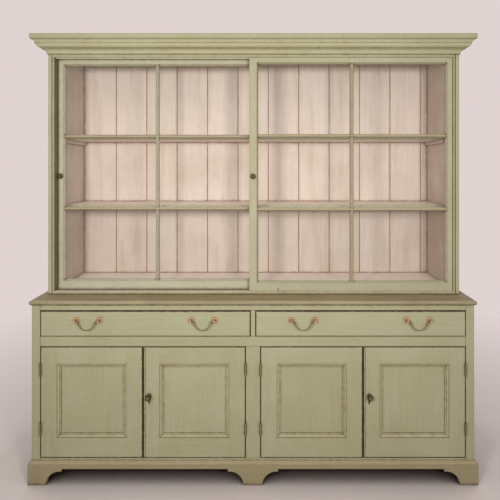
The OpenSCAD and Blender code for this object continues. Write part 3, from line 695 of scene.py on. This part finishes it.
# A bail's wire from its end to its lowest point: across, up and radius, in mm
HALF_WIRE = [(58.6, 0, 2.3), (53, 0, 2.6), (49, -0.2, 3.5), (45.5, -1.8, 4.1), (42.6, -5.6, 4.0),
             (40.2, -11.0, 3.5), (37.2, -18.0, 3.0), (33.2, -25.0, 2.6), (27.8, -31.8, 2.35),
             (20.8, -38.0, 2.2), (12.3, -42.2, 2.15), (0, -43.6, 2.2)]
# From a bail's axis, in mm: up to the top of its box, back to the front, and across to a post
AXIS_TO_TOP = 2.4
AXIS_TO_FRONT = 18
AXIS_TO_POST = 56
BAILS = {1: (1, 2), 2: (3, 4)}


def bail_middle(n):
    """The point on a bail's axis that is midway between its posts."""
    low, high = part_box(f"bail_{n}")
    return ((low[0] + high[0]) / 2, (low[1] + high[1]) / 2, high[2] - AXIS_TO_TOP * MM)


def posts(drawer):
    """The four turned posts of a drawer, as one piece."""
    turnings = []
    for n in BAILS[drawer]:
        x, y, z = bail_middle(n)
        for side in (-AXIS_TO_POST, AXIS_TO_POST):
            foot = (x + side * MM, y + AXIS_TO_FRONT * MM, z)
            turnings.append(turned(f"post_{n}", foot, ROSE, rose_brass, sides=32))
    stands_for(joined(turnings, f"drawer_{drawer}_posts_turned"), f"drawer_{drawer}_posts")


def bail(n):
    """A bail drawn from a bent wire that is thickest at its shoulders."""
    x, y, z = bail_middle(n)
    path = HALF_WIRE + [(-px, pz, r) for px, pz, r in reversed(HALF_WIRE[:-1])]
    wire = bpy.data.curves.new(f"bail_{n}_wire", "CURVE")
    wire.dimensions = "3D"
    wire.bevel_depth = MM
    wire.bevel_resolution = 5
    wire.use_fill_caps = True
    wire.resolution_u = 6
    line = wire.splines.new("NURBS")
    line.points.add(len(path) - 1)
    for point, (px, pz, r) in zip(line.points, path):
        point.co = (x + px * MM, y, z + pz * MM, 1)
        point.radius = r
    line.use_endpoint_u = True
    line.order_u = 4
    piece = bpy.data.objects.new(f"bail_{n}_drawn", wire)
    bpy.context.scene.collection.objects.link(piece)
    pick(piece)
    bpy.ops.object.convert(target="MESH")
    piece = bpy.context.object
    bpy.ops.object.shade_smooth()
    piece.data.materials.clear()
    piece.data.materials.append(bail_brass)
    stands_for(piece, f"bail_{n}")


for drawer in BAILS:
    posts(drawer)
for drawer in BAILS:
    for n in BAILS[drawer]:
        bail(n)

# A keyhole's rim, in mm: how far it is under the knob, the hole's round eye and its wall
KEYHOLE_DROP = 30
KEYHOLE_EYE = 4.5
KEYHOLE_WALL = 1.3


def keyhole_rim(leaf):
    """A thin pale rim let in round the keyhole of a cupboard door."""
    x, y, z = knob_seat(f"leaf_{leaf}_knob")
    z -= KEYHOLE_DROP * MM
    eye, wall = KEYHOLE_EYE, KEYHOLE_WALL
    rim = circle(f"leaf_{leaf}_keyhole_rim", (x, y - 0.1 * MM, z), eye, 40, "NOTHING")
    edit(lambda: draw_out(0, (eye + wall) / eye, (x, y, z)))
    # The lowest points are pulled down and together into the slot
    for v in rim.data.vertices:
        dx, dz = (v.co.x - x) / MM, (v.co.z - z) / MM
        out = wall if math.hypot(dx, dz) > eye + wall / 2 else 0
        if dz < -0.85 * (eye + out):
            dx *= (eye / 2 + out) / ((eye + out) / 2)
            dz = -2.4 * eye - out
        v.co.x, v.co.z = x + dx * MM, z + dz * MM
    pick(rim)
    edit(face_out)
    thick = rim.modifiers.new("wall", "SOLIDIFY")
    thick.thickness = 0.8 * MM
    thick.offset = 0
    bpy.ops.object.modifier_apply(modifier="wall")
    bpy.ops.object.shade_smooth_by_angle(angle=math.radians(40))
    rim.data.materials.append(rim_paint)
    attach(rim, f"leaf_{leaf}")


for leaf in (2, 4):
    keyhole_rim(leaf)


# ---------------------------------------------------------------- the room
BACKDROP = srgb(224, 211, 210)


def seen_ray(shader):
    """1 for the rays that show the room: from the camera, off metal or through glass."""
    def is_ray(kind):
        return shader.node("ShaderNodeLightPath", output=f"Is {kind} Ray")
    return is_ray("Camera").at_least(is_ray("Glossy")).at_least(is_ray("Transmission"))


bpy.ops.object.select_all(action="DESELECT")
bpy.ops.mesh.primitive_plane_add(size=14, location=(0, 0, 0))
floor = bpy.context.object
floor.name = "room_floor"
room = finish("room_floor")
far = room.vector("LENGTH", room.scaled(room.place(), 1, 1.25, 1), (0, 0, 0), output="Value")
# Painted shadow: the floor darkens to a near black brown where the dresser crowds it, a contact
# shadow under the plinth
under = room.ramp(room.crevice(0.4), 0.3, 0.85)
floor_with_painted_shadow = room.node("ShaderNodeBsdfDiffuse",
                  Color=room.mix(under, srgb(216, 204, 200), srgb(44, 34, 28)))
level = room.node("ShaderNodeEmission", Color=BACKDROP, Strength=1)
dark_matte = room.node("ShaderNodeBsdfDiffuse", Color=srgb(132, 116, 100))
shown = room.between(room.ramp(far, 1.3, 3.4) ** 0.6, floor_with_painted_shadow, level)
floor.data.materials.append(room.ends_in(room.between(seen_ray(room), dark_matte, shown)))

world = bpy.data.worlds.new("studio")
bpy.context.scene.world = world
sky = Shader(world, "ShaderNodeOutputWorld")
ambient = sky.node("ShaderNodeBackground", Color=(1, 0.985, 0.97, 1), Strength=0.56)
wall = sky.node("ShaderNodeBackground", Color=BACKDROP, Strength=1)
sky.ends_in(sky.between(seen_ray(sky), ambient, wall))


def lamp(name, place, target, size, power, reflected):
    """A soft square lamp aimed at a point, which metal and glass may reflect."""
    data = bpy.data.lights.new(name, "AREA")
    data.energy = power
    data.size = size
    obj = bpy.data.objects.new(name, data)
    bpy.context.scene.collection.objects.link(obj)
    obj.location = place
    obj.rotation_euler = (Vector(target) - Vector(place)).to_track_quat("-Z", "Y").to_euler()
    obj.visible_glossy = reflected


lamp("left_lamp", (-0.80, -2.0, 1.69), (0, 0, 1.35), 0.3, 22, reflected=False)
lamp("right_lamp", (0.88, -2.2, 1.69), (0, 0, 1.35), 0.3, 20.5, reflected=False)
# Stands where the meeting stile hides its reflection in the panes from the camera
lamp("knob_glint", (-0.08, -2.3, 1.62), (0, 0, 1.3), 0.05, 1.2, reflected=True)

# The photo's camera, worked back from its perspective: a level view, in the pixels of a
# square picture, with its middle shifted
PICTURE = 500
FOCAL = 393.7
SHIFT = (-16.8, -83.3)
SENSOR_MM = 36
camera_data = bpy.data.cameras.new("photo_camera")
camera = bpy.data.objects.new("photo_camera", camera_data)
bpy.context.scene.collection.objects.link(camera)
camera.location = (0.066, -2.092, 1.513)
camera.rotation_euler = (math.radians(90), 0, 0)
camera_data.sensor_width = SENSOR_MM
camera_data.lens = SENSOR_MM * FOCAL / PICTURE
camera_data.shift_x = SHIFT[0] / PICTURE
camera_data.shift_y = SHIFT[1] / PICTURE
camera_data.clip_start = 0.05
bpy.context.scene.camera = camera
bpy.context.scene.view_settings.view_transform = "Standard"
